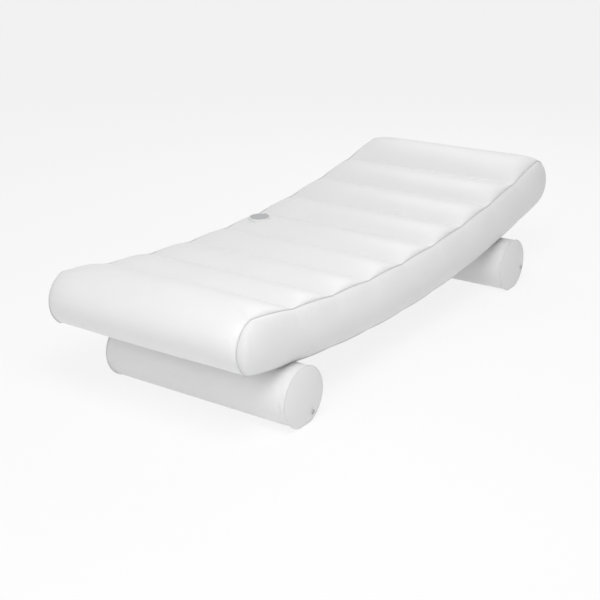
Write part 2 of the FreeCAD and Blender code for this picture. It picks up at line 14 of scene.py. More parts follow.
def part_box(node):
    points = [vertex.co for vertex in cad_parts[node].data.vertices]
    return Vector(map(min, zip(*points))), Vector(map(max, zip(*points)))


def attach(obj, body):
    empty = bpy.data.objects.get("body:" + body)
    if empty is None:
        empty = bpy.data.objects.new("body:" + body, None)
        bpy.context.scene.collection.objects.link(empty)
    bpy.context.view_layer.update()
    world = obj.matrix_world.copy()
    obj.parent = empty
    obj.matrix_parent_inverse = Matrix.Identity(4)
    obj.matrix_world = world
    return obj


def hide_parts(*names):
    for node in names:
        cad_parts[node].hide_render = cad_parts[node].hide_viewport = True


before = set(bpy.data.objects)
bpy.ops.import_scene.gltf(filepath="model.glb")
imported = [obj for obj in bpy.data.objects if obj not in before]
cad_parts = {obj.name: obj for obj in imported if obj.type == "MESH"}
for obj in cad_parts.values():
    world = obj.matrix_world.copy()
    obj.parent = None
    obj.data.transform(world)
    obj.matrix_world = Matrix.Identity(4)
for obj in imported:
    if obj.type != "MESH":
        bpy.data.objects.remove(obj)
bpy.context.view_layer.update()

bpy.ops.object.select_all(action="DESELECT")
print("nodes loaded:", len(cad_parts))

# %% [markdown]
# The camera stands in front of the foot end, to the right of the lounger and above it, as far off as
# a long lens needs. It is aimed at a point on the foot half, and turned a little about its own line
# of sight, which tilts the picture as the photograph is tilted. There is no lens shift.

# %% Camera
CAMERA_AT = Vector((-3.260, -2.301, 1.641))
LOOK_AT = Vector((-0.396, -0.158, 0.237))
LENS = 72.0
ROLL = -1.92

camera_data = bpy.data.cameras.new("photo_camera")
camera_data.lens = LENS
camera_data.sensor_width = 36.0
camera = bpy.data.objects.new("photo_camera", camera_data)
bpy.context.scene.collection.objects.link(camera)
aim = (LOOK_AT - CAMERA_AT).to_track_quat("-Z", "Y")
camera.rotation_mode = "QUATERNION"
camera.rotation_quaternion = aim @ Quaternion((0, 0, 1), math.radians(ROLL))
camera.location = CAMERA_AT
bpy.context.scene.camera = camera
print("camera distance:", round((LOOK_AT - CAMERA_AT).length, 3))

# %% [markdown]
# The lounger stands on a plain white floor under soft light. A floor could simply be lit until it
# turns white, but that would bleach the white film too. Instead the camera sees the floor mostly as
# plain white, with a share of its lit surface mixed in, which carries the shadow. The same is done
# for glossy rays, so that the film mirrors that pale floor. A little of the white is left for all
# other rays, and lights the lounger from below, as a lit studio floor does.

# %% Floor
FLOOR_SIZE = 40.0
FLOOR_DROP = 0.0006
SEEN_WHITE = 0.8
GLOW = 0.30


def pale_ray(nodes, links):
    """Socket that is 1 for rays from the camera, from gloss and through glass."""
    path = nodes.new("ShaderNodeLightPath")
    seen = nodes.new("ShaderNodeMath")
    seen.operation = "MAXIMUM"
    links.new(path.outputs["Is Camera Ray"], seen.inputs[0])
    links.new(path.outputs["Is Glossy Ray"], seen.inputs[1])
    through = nodes.new("ShaderNodeMath")
    through.operation = "MAXIMUM"
    links.new(seen.outputs[0], through.inputs[0])
    links.new(path.outputs["Is Transmission Ray"], through.inputs[1])
    return through.outputs[0]


bpy.ops.mesh.primitive_plane_add(size=FLOOR_SIZE, location=(0, 0, -FLOOR_DROP))
floor = bpy.context.active_object
floor.name = "floor"
bpy.ops.object.transform_apply(location=True, rotation=True, scale=True)
floor_paint = bpy.data.materials.new("floor_paint")
floor_paint.use_nodes = True
nodes, links = floor_paint.node_tree.nodes, floor_paint.node_tree.links
nodes.clear()
matt = nodes.new("ShaderNodeBsdfDiffuse")
matt.inputs["Color"].default_value = (0.9, 0.9, 0.9, 1)
white = nodes.new("ShaderNodeEmission")
white.inputs["Color"].default_value = (1, 1, 1, 1)
share = nodes.new("ShaderNodeMath")
share.operation = "MULTIPLY_ADD"
share.inputs[1].default_value = SEEN_WHITE - GLOW
share.inputs[2].default_value = GLOW
links.new(pale_ray(nodes, links), share.inputs[0])
mixed = nodes.new("ShaderNodeMixShader")
links.new(share.outputs[0], mixed.inputs["Fac"])
links.new(matt.outputs[0], mixed.inputs[1])
links.new(white.outputs[0], mixed.inputs[2])
out = nodes.new("ShaderNodeOutputMaterial")
links.new(mixed.outputs[0], out.inputs["Surface"])
floor.data.materials.append(floor_paint)
bpy.ops.object.select_all(action="DESELECT")
print("floor:", FLOOR_SIZE, "m")

# %% [markdown]
# The light is a studio's: a faint sky from all sides and three wide lamps. The strongest is high
# above the foot half, to the right, one is behind the head end, and one in front lights the rounded
# foot end. Each channel is then light on its crest, darker on the slope that faces the camera and
# brightest at its right end, where it rounds down to the seam.

# %% Light
SKY = 0.46
BEHIND_POWER = 12.0
FRONT_POWER = 20.0
RIGHT_POWER = 48.0
AIM_AT = (0.0, 0.0, 0.3)

world = bpy.data.worlds.new("studio")
bpy.context.scene.world = world
world.use_nodes = True
nodes, links = world.node_tree.nodes, world.node_tree.links
nodes.clear()
sky = nodes.new("ShaderNodeBackground")
sky.inputs["Color"].default_value = (1, 1, 1, 1)
sky.inputs["Strength"].default_value = SKY
seen_sky = nodes.new("ShaderNodeBackground")
seen_sky.inputs["Color"].default_value = (1, 1, 1, 1)
seen_sky.inputs["Strength"].default_value = 1.0
mixed = nodes.new("ShaderNodeMixShader")
links.new(pale_ray(nodes, links), mixed.inputs["Fac"])
links.new(sky.outputs[0], mixed.inputs[1])
links.new(seen_sky.outputs[0], mixed.inputs[2])
out = nodes.new("ShaderNodeOutputWorld")
links.new(mixed.outputs[0], out.inputs["Surface"])


def wide_lamp(name, place, size, power):
    """Square lamp at a place, turned towards the middle of the lounger."""
    lamp = bpy.data.lights.new(name, "AREA")
    lamp.shape = "SQUARE"
    lamp.size = size
    lamp.energy = power
    holder = bpy.data.objects.new(name, lamp)
    bpy.context.scene.collection.objects.link(holder)
    holder.location = place
    holder.rotation_euler = (Vector(AIM_AT) - Vector(place)).to_track_quat("-Z", "Y").to_euler()
    return holder


wide_lamp("behind_lamp", (2.0, 0.6, 2.0), 1.3, BEHIND_POWER)
wide_lamp("front_lamp", (-4.0, -0.4, 1.9), 2.0, FRONT_POWER)
wide_lamp("right_lamp", (-1.6, -1.3, 2.8), 1.6, RIGHT_POWER)
bpy.context.scene.view_settings.view_transform = "Standard"
print("lamps: behind", BEHIND_POWER, "W, front", FRONT_POWER, "W, right", RIGHT_POWER, "W")

# %% [markdown]
# Blown-up film shows three things close up. It has a faint haze: its whiteness and its gloss drift a
# little over a hand's width. It has a fine pebbled grain from the roller that finished it. And it is
# drawn into short wrinkles that run away from every weld, because the flat sheet there is gathered
# into a swollen shape. Each is a node group, built once and placed in each material that needs it.

# %% Film effects
def new_group(name, inputs, outputs):
    """Empty shader group with named number or vector sockets."""
    group = bpy.data.node_groups.new(name, "ShaderNodeTree")
    for label, kind, value in inputs:
        socket = group.interface.new_socket(label, in_out="INPUT", socket_type=kind)
        if value is not None:
            socket.default_value = value
    for label in outputs:
        group.interface.new_socket(label, in_out="OUTPUT", socket_type="NodeSocketFloat")
    return group, group.nodes.new("NodeGroupInput"), group.nodes.new("NodeGroupOutput")


def noise_node(group, scale, detail):
    noise = group.nodes.new("ShaderNodeTexNoise")
    noise.inputs["Scale"].default_value = scale
    noise.inputs["Detail"].default_value = detail
    return noise


def math_node(group, operation, first, second):
    """Math node whose two inputs are sockets or plain numbers."""
    node = group.nodes.new("ShaderNodeMath")
    node.operation = operation
    for socket, value in zip(node.inputs, (first, second)):
        if isinstance(value, (int, float)):
            socket.default_value = value
        else:
            group.links.new(value, socket)
    return node.outputs[0]


haze, entry, leave = new_group(
    "film_haze",
    [("Vector", "NodeSocketVector", None), ("Drift", "NodeSocketFloat", 0.03),
     ("Gloss", "NodeSocketFloat", 0.4), ("Gloss Drift", "NodeSocketFloat", 0.1)],
    ["Tone", "Roughness"])
cloudy = noise_node(haze, 5.0, 3.0)
haze.links.new(entry.outputs["Vector"], cloudy.inputs["Vector"])
smears = noise_node(haze, 17.0, 4.0)
haze.links.new(entry.outputs["Vector"], smears.inputs["Vector"])
drift = math_node(haze, "MULTIPLY", math_node(haze, "SUBTRACT", cloudy.outputs["Fac"], 0.5),
                  entry.outputs["Drift"])
haze.links.new(math_node(haze, "ADD", drift, 1.0), leave.inputs["Tone"])
dull = math_node(haze, "MULTIPLY", math_node(haze, "SUBTRACT", smears.outputs["Fac"], 0.5),
                 entry.outputs["Gloss Drift"])
haze.links.new(math_node(haze, "ADD", dull, entry.outputs["Gloss"]), leave.inputs["Roughness"])

grain, entry, leave = new_group(
    "roller_grain", [("Vector", "NodeSocketVector", None), ("Scale", "NodeSocketFloat", 700.0)],
    ["Height"])
pebbles = noise_node(grain, 700.0, 2.0)
grain.links.new(entry.outputs["Vector"], pebbles.inputs["Vector"])
grain.links.new(entry.outputs["Scale"], pebbles.inputs["Scale"])
grain.links.new(pebbles.outputs["Fac"], leave.inputs["Height"])

pulls, entry, leave = new_group(
    "drawn_wrinkles",
    [("Vector", "NodeSocketVector", None), ("Pull", "NodeSocketFloat", 0.0),
     ("Stretch", "NodeSocketVector", (1.0, 1.0, 1.0))],
    ["Height"])
stretched = pulls.nodes.new("ShaderNodeVectorMath")
stretched.operation = "MULTIPLY"
pulls.links.new(entry.outputs["Vector"], stretched.inputs[0])
pulls.links.new(entry.outputs["Stretch"], stretched.inputs[1])
folds = noise_node(pulls, 1.0, 2.0)
pulls.links.new(stretched.outputs["Vector"], folds.inputs["Vector"])
centred = math_node(pulls, "SUBTRACT", folds.outputs["Fac"], 0.5)
pulls.links.new(math_node(pulls, "MULTIPLY", centred, entry.outputs["Pull"]), leave.inputs["Height"])
print("film effects:", haze.name, grain.name, pulls.name)

# %% [markdown]
# The mattress, the bolsters and the welts are one white film, so one material serves them all. Two
# attributes of a mesh say how strongly a weld draws the film there: one for welds that run across
# the lounger, one for welds along it. They set the wrinkles' depth, and the along one also places the
# thin grey line of painted shade along a side seam, standing in for the shade in the groove where two
# films are welded together. Mesh attributes are used since they follow the shape anywhere.

# %% White film
FILM_WHITE = (0.80, 0.80, 0.80, 1)
# The seam colour below is painted shade: its grey stands in for the shade in the weld's groove.
SEAM_SHADE = (0.70, 0.70, 0.71, 1)
SEAM_SHADE_NARROW = 48.0
WRINKLE_DEPTH = 0.003
ACROSS_FOLDS = (8.0, 75.0, 20.0)
ALONG_FOLDS = (75.0, 14.0, 9.0)


def place_group(tree, group, **values):
    """Group node in a material, with its plain inputs set."""
    node = tree.nodes.new("ShaderNodeGroup")
    node.node_tree = group
    for label, value in values.items():
        node.inputs[label.replace("_", " ")].default_value = value
    return node


def attribute_value(tree, name):
    node = tree.nodes.new("ShaderNodeAttribute")
    node.attribute_name = name
    return node.outputs["Fac"]


def film_material(name, clean, seam_shade, wrinkle_depth):
    """Satin film with haze, grain, wrinkles where welds draw it and painted shade along the seams."""
    material = bpy.data.materials.new(name)
    material.use_nodes = True
    tree = material.node_tree
    shader = tree.nodes["Principled BSDF"]
    shader.inputs["Specular IOR Level"].default_value = 0.45
    place = tree.nodes.new("ShaderNodeTexCoord").outputs["Object"]
    across = attribute_value(tree, "pull_across")
    along = attribute_value(tree, "pull_along_and_shade")
    cloud = place_group(tree, haze, Drift=0.06, Gloss=0.42, Gloss_Drift=0.14)
    tree.links.new(place, cloud.inputs["Vector"])
    tree.links.new(cloud.outputs["Roughness"], shader.inputs["Roughness"])
    # Painted shade: along the welds the film turns to the seam colour, in place of the shade in their
    # grooves.
    seam_shaded = tree.nodes.new("ShaderNodeMix")
    seam_shaded.data_type = "RGBA"
    seam_shaded.inputs["A"].default_value = clean
    seam_shaded.inputs["B"].default_value = seam_shade
    tree.links.new(math_node(tree, "POWER", along, SEAM_SHADE_NARROW), seam_shaded.inputs["Factor"])
    toned = tree.nodes.new("ShaderNodeMix")
    toned.data_type = "RGBA"
    toned.blend_type = "MULTIPLY"
    toned.inputs["Factor"].default_value = 1.0
    tree.links.new(seam_shaded.outputs["Result"], toned.inputs["A"])
    tree.links.new(cloud.outputs["Tone"], toned.inputs["B"])
    tree.links.new(toned.outputs["Result"], shader.inputs["Base Color"])
    heights = []
    for pull, stretch in ((across, ACROSS_FOLDS), (along, ALONG_FOLDS)):
        wrinkles = place_group(tree, pulls, Stretch=stretch)
        tree.links.new(place, wrinkles.inputs["Vector"])
        tree.links.new(pull, wrinkles.inputs["Pull"])
        heights.append(wrinkles.outputs["Height"])
    pebbled = place_group(tree, grain, Scale=650.0)
    tree.links.new(place, pebbled.inputs["Vector"])
    fine = math_node(tree, "MULTIPLY", pebbled.outputs["Height"], 0.02)
    total = math_node(tree, "ADD", math_node(tree, "ADD", heights[0], heights[1]), fine)
    bump = tree.nodes.new("ShaderNodeBump")
    bump.inputs["Strength"].default_value = 1.0
    bump.inputs["Distance"].default_value = wrinkle_depth
    tree.links.new(total, bump.inputs["Height"])
    tree.links.new(bump.outputs["Normal"], shader.inputs["Normal"])
    return material


film_white = film_material("film_white", FILM_WHITE, SEAM_SHADE, WRINKLE_DEPTH)
print("film:", film_white.name)

# %% [markdown]
# The valves are moulded: white plastic for the collar, the seat and the small stems, grey plastic for
# the big cap and the small plugs, soft rubber for the flap inside. Mouldings have a finer texture than
# film. Only colour, gloss and grain differ, so one function makes them all.

# %% Moulded plastics
def moulded_material(name, colour, worn, gloss, grain_scale, depth):
    """Moulded plastic or rubber with faint tone drift and fine grain."""
    material = bpy.data.materials.new(name)
    material.use_nodes = True
    tree = material.node_tree
    shader = tree.nodes["Principled BSDF"]
    place = tree.nodes.new("ShaderNodeTexCoord").outputs["Object"]
    cloud = place_group(tree, haze, Drift=0.08, Gloss=gloss, Gloss_Drift=0.12)
    tree.links.new(place, cloud.inputs["Vector"])
    tree.links.new(cloud.outputs["Roughness"], shader.inputs["Roughness"])
    scuffs = tree.nodes.new("ShaderNodeTexNoise")
    scuffs.inputs["Scale"].default_value = 90.0
    scuffs.inputs["Detail"].default_value = 5.0
    tree.links.new(place, scuffs.inputs["Vector"])
    rubbed = tree.nodes.new("ShaderNodeMix")
    rubbed.data_type = "RGBA"
    rubbed.inputs["A"].default_value = colour
    rubbed.inputs["B"].default_value = worn
    tree.links.new(scuffs.outputs["Fac"], rubbed.inputs["Factor"])
    toned = tree.nodes.new("ShaderNodeMix")
    toned.data_type = "RGBA"
    toned.blend_type = "MULTIPLY"
    toned.inputs["Factor"].default_value = 1.0
    tree.links.new(rubbed.outputs["Result"], toned.inputs["A"])
    tree.links.new(cloud.outputs["Tone"], toned.inputs["B"])
    tree.links.new(toned.outputs["Result"], shader.inputs["Base Color"])
    pebbled = place_group(tree, grain, Scale=grain_scale)
    tree.links.new(place, pebbled.inputs["Vector"])
    bump = tree.nodes.new("ShaderNodeBump")
    bump.inputs["Strength"].default_value = 0.4
    bump.inputs["Distance"].default_value = depth
    tree.links.new(pebbled.outputs["Height"], bump.inputs["Height"])
    tree.links.new(bump.outputs["Normal"], shader.inputs["Normal"])
    return material


finishes = {
    "film_white": film_white,
    "valve_white": moulded_material("valve_white", (0.82, 0.82, 0.81, 1), (0.76, 0.76, 0.75, 1),
                                    0.36, 1800.0, 0.0002),
    "valve_grey": moulded_material("valve_grey", (0.40, 0.41, 0.42, 1), (0.45, 0.46, 0.47, 1),
                                   0.45, 1500.0, 0.0003),
    "flap_rubber": moulded_material("flap_rubber", (0.16, 0.16, 0.17, 1), (0.20, 0.20, 0.21, 1),
                                    0.62, 1200.0, 0.0003),
}
print("finishes:", ", ".join(sorted(finishes)))

# %% [markdown]
# The mattress's side view is known from the eight baffles inside it. Their top edges lie on one
# circle, whose centre is high above the lounger, and each is welded to a crease, so three of them
# give the hollow's centre and radius, and the first and last give the pitch of the channels. Reading
# these from the loaded model keeps the film on the frame even when the frame changes.

# %% Hollow
CHANNELS = 9
FILM_ROOM = 0.0012


def baffle_edges(number):
    """Top and bottom edge of a baffle in the side view, as (x, z)."""
    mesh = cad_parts["baffle_%d" % number].data
    points = np.array([vertex.co for vertex in mesh.vertices])[:, (0, 2)]
    middle = (points[:, 1].min() + points[:, 1].max()) / 2
    return points[points[:, 1] > middle].mean(axis=0), points[points[:, 1] < middle].mean(axis=0)


def circle_through(first, second, third):
    """Centre of the circle through three points of a plane."""
    rows = 2 * np.array([second - first, third - first])
    sums = np.array([second @ second - first @ first, third @ third - first @ first])
    return np.linalg.solve(rows, sums)


edges = [baffle_edges(number) for number in range(1, CHANNELS)]
hollow = circle_through(edges[0][0], edges[3][0], edges[-1][0])
top_radius = np.linalg.norm(edges[0][0] - hollow) - FILM_ROOM
bottom_radius = np.linalg.norm(edges[0][1] - hollow) + FILM_ROOM


def levelled_angle(point):
    return math.atan2(point[0] - hollow[0], hollow[1] - point[1])


pitch = (levelled_angle(edges[-1][0]) - levelled_angle(edges[0][0])) / (CHANNELS - 2)
crease_angles = [levelled_angle(edges[0][0]) + pitch * (number - 1) for number in range(CHANNELS + 1)]
left_seam, right_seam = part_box("left_seam_fin")[0].y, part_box("right_seam_fin")[1].y
half_width = (left_seam - right_seam) / 2
middle_y = (left_seam + right_seam) / 2
side_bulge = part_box("left_side_panel")[1].y - left_seam
print("hollow radius", round(top_radius, 3), "depth", round(bottom_radius - top_radius, 3),
      "pitch", round(pitch * top_radius, 3), "half width", round(half_width, 3))

# %% [markdown]
# Seen from the side, the mattress is a chain of arcs: the swollen foot end, nine channel tops, the
# head end and nine channel undersides. Near the side seams the channels run down to a shallow scallop.
# There is no crease at the two ends: the first and last channels are lifted there, until they run on
# into the rounded end. One row of points is laid round that chain at each station across the width,
# close together at the creases and seams, where the film bends most, and wide apart between them.

# %% Rows round the mattress
TOP_CROWN, BOTTOM_CROWN, SEAM_CROWN = 0.025, 0.012, 0.004
END_BULGE, SEAM_BULGE = 0.068, 0.050
END_SHARE = 0.8
ROUNDING = 0.105
CHANNEL_STEPS = 22
END_STEPS = 22
ROUNDING_STEPS = 9
MIDDLE_STEPS = 50


def swollen_arc(start, end, swell, shares):
    """Points on the arc from start to end that swells to the left, at shares of its turn."""
    chord = np.linalg.norm(end - start)
    along = (end - start) / chord
    outward = np.array([-along[1], along[0]])
    turn = 2 * math.atan(2 * swell / chord)
    radius = chord / (2 * math.sin(turn))
    angles = (2 * shares - 1) * turn
    reach = chord / 2 + radius * np.sin(angles)
    lift = radius * (np.cos(angles) - math.cos(turn))
    return start + reach[:, None] * along + lift[:, None] * outward


def on_hollow(radius, angle):
    return hollow + radius * np.array([math.sin(angle), -math.cos(angle)])


even = np.arange(CHANNEL_STEPS) / CHANNEL_STEPS
channel_shares = 0.5 * even + 0.25 * (1 - np.cos(math.pi * even))
end_shares = (1 - np.cos(math.pi * np.arange(END_STEPS) / END_STEPS)) / 2


def end_lifts(crown):
    """Lift of each top crease and crown of each channel, so that the end ones run on into the ends."""
    lift = END_SHARE * (crown - SEAM_CROWN)
    lifts = np.array([lift] + [0.0] * (CHANNELS - 1) + [lift])
    return lifts, crown - (lifts[:-1] + lifts[1:]) / 2


def row_round(share):
    """One row of points (x, z) round the mattress, where a share of the full swell is reached."""
    lifts, crowns = end_lifts(SEAM_CROWN + share * (TOP_CROWN - SEAM_CROWN))
    under = SEAM_CROWN + share * (BOTTOM_CROWN - SEAM_CROWN)
    end = SEAM_BULGE + share * (END_BULGE - SEAM_BULGE)
    tops = [on_hollow(top_radius - lift, angle) for lift, angle in zip(lifts, crease_angles)]
    bottoms = [on_hollow(bottom_radius, angle) for angle in crease_angles]
    parts = [swollen_arc(bottoms[0], tops[0], end, end_shares)]
    parts += [swollen_arc(tops[i], tops[i + 1], crowns[i], channel_shares) for i in range(CHANNELS)]
    parts += [swollen_arc(tops[-1], bottoms[-1], end, end_shares)]
    parts += [swollen_arc(bottoms[i + 1], bottoms[i], under, channel_shares)
              for i in reversed(range(CHANNELS))]
    return np.concatenate(parts)


steps = np.arange(ROUNDING_STEPS) / ROUNDING_STEPS
edge_distances = ROUNDING * (1 - np.cos(math.pi / 2 * steps))
middle = np.linspace(ROUNDING, 2 * half_width - ROUNDING, MIDDLE_STEPS + 1)
stations = np.concatenate([edge_distances, middle, (2 * half_width - edge_distances)[::-1]])
to_seam = np.minimum(stations, 2 * half_width - stations)
swell_shares = np.sqrt(1 - np.maximum(0, 1 - to_seam / ROUNDING) ** 2)
rows = np.array([row_round(share) for share in swell_shares])
row_length = rows.shape[1]
print("rows:", len(rows), "of", row_length, "points")

# %% [markdown]
# A side panel closes each end of those rows. It is a grid from the bottom seam up to the top seam,
# whose rim is the last row itself, so that no gap is left. Its middle swells outwards and falls to
# nothing at the rim. At the foot and head ends its columns lean out into the rounded ends.

# %% Side panels
LENGTH_STEPS = CHANNELS * CHANNEL_STEPS
LEAN = 0.16
PANEL_ROUNDING = 0.085


def panel_rim(column, step):
    """Number of the rim point that a panel's grid point falls on, or None inside the panel."""
    if column == 0:
        return step
    if step == END_STEPS:
        return END_STEPS + column
    if column == LENGTH_STEPS:
        return END_STEPS + LENGTH_STEPS + END_STEPS - step
    if step == 0:
        return (2 * END_STEPS + 2 * LENGTH_STEPS - column) % row_length
    return None


def panel_points(rim):
    """Points (x, z, swell share) of a panel's grid, by column and step."""
    under = np.array([rim[panel_rim(column, 0)] for column in range(LENGTH_STEPS + 1)])
    over = np.array([rim[panel_rim(column, END_STEPS)] for column in range(LENGTH_STEPS + 1)])
    shares = (1 - np.cos(math.pi * np.arange(END_STEPS + 1) / END_STEPS)) / 2
    grid = under[:, None] * (1 - shares[None, :, None]) + over[:, None] * shares[None, :, None]
    upright = (under + over) / 2
    lengths = np.concatenate([[0], np.cumsum(np.linalg.norm(np.diff(upright, axis=0), axis=1))])
    round_ends = np.ones(LENGTH_STEPS + 1)
    for from_end, column in ((lengths, 0), (lengths[-1] - lengths, LENGTH_STEPS)):
        rim_points = np.array([rim[panel_rim(column, step)] for step in range(END_STEPS + 1)])
        lean = rim_points - grid[column]
        fade = np.maximum(0, 1 - from_end / LEAN) ** 2
        grid = grid + fade[:, None, None] * lean[None]
        round_ends *= 1 - np.maximum(0, 1 - from_end / PANEL_ROUNDING) ** 2
    across = 1 - (2 * shares - 1) ** 2
    return grid, np.sqrt(across[None, :] * round_ends[:, None])


panel_grid, panel_swell = panel_points(rows[0])
print("side panel grid:", panel_grid.shape[0], "by", panel_grid.shape[1])

# %% [markdown]
# Rows and panels become one closed skin. A closed skin is what the pressure of the simulation needs,
# and it makes the mattress airtight like the real one. Its faces are turned outwards at the end.

# %% Mattress skin
def skin_object(name, points, faces):
    """Mesh object with its faces turned outwards and shaded smooth."""
    mesh = bpy.data.meshes.new(name)
    mesh.from_pydata(points.tolist(), [], faces)
    skin = bpy.data.objects.new(name, mesh)
    bpy.context.scene.collection.objects.link(skin)
    bpy.ops.object.select_all(action="DESELECT")
    bpy.context.view_layer.objects.active = skin
    skin.select_set(True)
    bpy.ops.object.mode_set(mode="EDIT")
    bpy.ops.mesh.select_all(action="SELECT")
    bpy.ops.mesh.normals_make_consistent(inside=False)
    bpy.ops.object.mode_set(mode="OBJECT")
    bpy.ops.object.shade_smooth()
    return skin


points = [np.column_stack([row[:, 0], np.full(row_length, right_seam + place), row[:, 1]])
          for row, place in zip(rows, stations)]
faces = []
for station in range(len(rows) - 1):
    for place in range(row_length):
        following = (place + 1) % row_length
        low, high = station * row_length, (station + 1) * row_length
        faces.append((low + place, low + following, high + following, high + place))
count = len(rows) * row_length
panel_numbers = []
for side, first_row in ((-1, 0), (1, (len(rows) - 1) * row_length)):
    numbers = np.zeros((LENGTH_STEPS + 1, END_STEPS + 1), int)
    inner = []
    for column in range(LENGTH_STEPS + 1):
        for step in range(END_STEPS + 1):
            rim = panel_rim(column, step)
            if rim is None:
                numbers[column, step] = count + len(inner)
                x, z = panel_grid[column, step]
                y = middle_y + side * (half_width + side_bulge * panel_swell[column, step])
                inner.append((x, y, z))
            else:
                numbers[column, step] = first_row + rim
    for column in range(LENGTH_STEPS):
        for step in range(END_STEPS):
            faces.append((numbers[column, step], numbers[column + 1, step],
                          numbers[column + 1, step + 1], numbers[column, step + 1]))
    points.append(np.array(inner))
    panel_numbers.append(numbers)
    count += len(inner)
mattress_points = np.concatenate(points)
faces = [tuple(int(number) for number in face) for face in faces]
mattress = skin_object("mattress", mattress_points, faces)
print("mattress skin:", len(mattress.data.vertices), "points,", len(mattress.data.polygons), "faces")

# %% [markdown]
# Two masks say how near each point is to a weld. Creases draw the film across the lounger, the seams
# round the side panels draw it along. They steer the wrinkles of the film's material, the along mask
# also the painted shade of the seam line, and the weld points are also what the simulation holds fast.

# %% Welds of the mattress
CREASE_FADE = 0.030
CREASE_PULL = 0.5
SEAM_FADE = 0.040


def set_mask(skin, name, values):
    attribute = skin.data.attributes.new(name, "FLOAT", "POINT")
    attribute.data.foreach_set("value", np.ascontiguousarray(values, np.float32))


def loop_distances(row, marks):
    """Distance of each point of a closed row to the nearest marked point, along the row."""
    gaps = np.linalg.norm(np.diff(np.concatenate([row, row[:1]]), axis=0), axis=1)
    along = np.concatenate([[0], np.cumsum(gaps)])
    total = along[-1]
    apart = np.abs(along[:-1, None] - along[marks][None, :])
    return np.minimum(apart, total - apart).min(axis=1)


crease_marks = [END_STEPS + CHANNEL_STEPS * number for number in range(1, CHANNELS)]
crease_marks += [2 * END_STEPS + LENGTH_STEPS + CHANNEL_STEPS * number for number in range(1, CHANNELS)]
middle_row = rows[len(rows) // 2]
crease_distance = loop_distances(middle_row, crease_marks)
crease_pull = CREASE_PULL * np.exp(-crease_distance / CREASE_FADE)
total_points = len(mattress_points)
pull_across = np.zeros(total_points)
pull_along_and_shade = np.zeros(total_points)
pull_across[:len(rows) * row_length] = np.tile(crease_pull, len(rows))
# At the seam rows this mask is full, which also gives them the painted seam shade.
pull_along_and_shade[:len(rows) * row_length] = np.repeat(np.exp(-to_seam / SEAM_FADE), row_length)
half_depth = (bottom_radius - top_radius) / 2
for numbers in panel_numbers:
    for column in range(LENGTH_STEPS + 1):
        for step in range(END_STEPS + 1):
            nearness = min(step, END_STEPS - step, column, LENGTH_STEPS - column)
            distance = half_depth * (1 - math.cos(math.pi * min(nearness / END_STEPS, 0.5)))
            pull_along_and_shade[numbers[column, step]] = math.exp(-distance / SEAM_FADE)
set_mask(mattress, "pull_across", pull_across)
set_mask(mattress, "pull_along_and_shade", pull_along_and_shade)
seam_rows = (0, len(rows) - 1)
seam_points = np.concatenate([np.arange(row_length) + row * row_length for row in seam_rows])
crease_points = np.concatenate([np.array(crease_marks) + row * row_length for row in range(len(rows))])
print("weld points held:", len(set(seam_points) | set(crease_points)))

# %% [markdown]
# Air makes the final form. The skin is a cloth with pressure inside and gravity off, held at its
# welds and under the valve. The mattress has no spare film, so that it swells tight, and settles in
# twenty frames. How far a point may move is capped, least at the ends and below, which keeps the
# mattress on its frame. Where the film touches a bolster it is pushed back out of it.

# %% Blowing up
VALVE_HOLD = 0.058
PRESSURE = 4.0
SPARE_FILM = 0.0
SETTLING_FRAMES = 20
TOP_CAP, FOOT_END_CAP, UNDER_CAP = 0.010, 0.003, 0.004
FILM_GAP = 0.0011
VALVE_REACH = 0.05


def bolster_place(name):
    """Axis (x, z) and radius of a bolster."""
    low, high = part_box(name + "_bolster_tube")
    radius = (high.x - low.x) / 2
    return (low.x + high.x) / 2, high.z - radius, radius


def keep_off_bolsters(points, room):
    """Moves points that are inside a bolster out to its surface and a little beyond."""
    for name in ("front", "rear"):
        axis_x, axis_z, radius = bolster_place(name)
        low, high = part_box(name + "_bolster_tube")
        off = points[:, (0, 2)] - (axis_x, axis_z)
        distance = np.linalg.norm(off, axis=1)
        inside = (distance < radius + room) & (points[:, 1] > low.y) & (points[:, 1] < high.y)
        moved = off[inside] / distance[inside][:, None] * (radius + room)
        points[inside, 0] = axis_x + moved[:, 0]
        points[inside, 2] = axis_z + moved[:, 1]
    return points


def blow_up(skin, held, spare, cap):
    """Swells a closed skin that is held at some points, and caps how far each point moves."""
    start = np.array([vertex.co for vertex in skin.data.vertices])
    group = skin.vertex_groups.new(name="held")
    group.add([int(number) for number in held], 1.0, "REPLACE")
    cloth = skin.modifiers.new("air", "CLOTH")
    cloth.settings.vertex_group_mass = "held"
    cloth.settings.quality = 6
    cloth.settings.mass = 0.25
    cloth.settings.tension_stiffness = 25.0
    cloth.settings.compression_stiffness = 25.0
    cloth.settings.shear_stiffness = 12.0
    cloth.settings.bending_stiffness = 0.4
    cloth.settings.use_pressure = True
    cloth.settings.uniform_pressure_force = PRESSURE
    cloth.settings.shrink_min = spare
    cloth.settings.effector_weights.gravity = 0.0
    cloth.collision_settings.use_collision = False
    cloth.point_cache.frame_start = 1
    cloth.point_cache.frame_end = SETTLING_FRAMES
    for number in range(1, SETTLING_FRAMES + 1):
        bpy.context.scene.frame_set(number)
    bpy.ops.object.select_all(action="DESELECT")
    bpy.context.view_layer.objects.active = skin
    skin.select_set(True)
    bpy.ops.object.modifier_apply(modifier="air")
    bpy.context.scene.frame_set(1)
    skin.vertex_groups.clear()
    blown = np.array([vertex.co for vertex in skin.data.vertices])
    moved = blown - start
    far = np.linalg.norm(moved, axis=1)
    print(skin.name, "moved", round(far.mean() * 1000, 1), "mm on average,",
          round(far.max() * 1000, 1), "at most")
    return start + moved * np.minimum(1, cap / np.maximum(far, 1e-9))[:, None]


def put_points(skin, points):
    skin.data.vertices.foreach_set("co", np.ascontiguousarray(points, np.float32).ravel())
    skin.data.update()


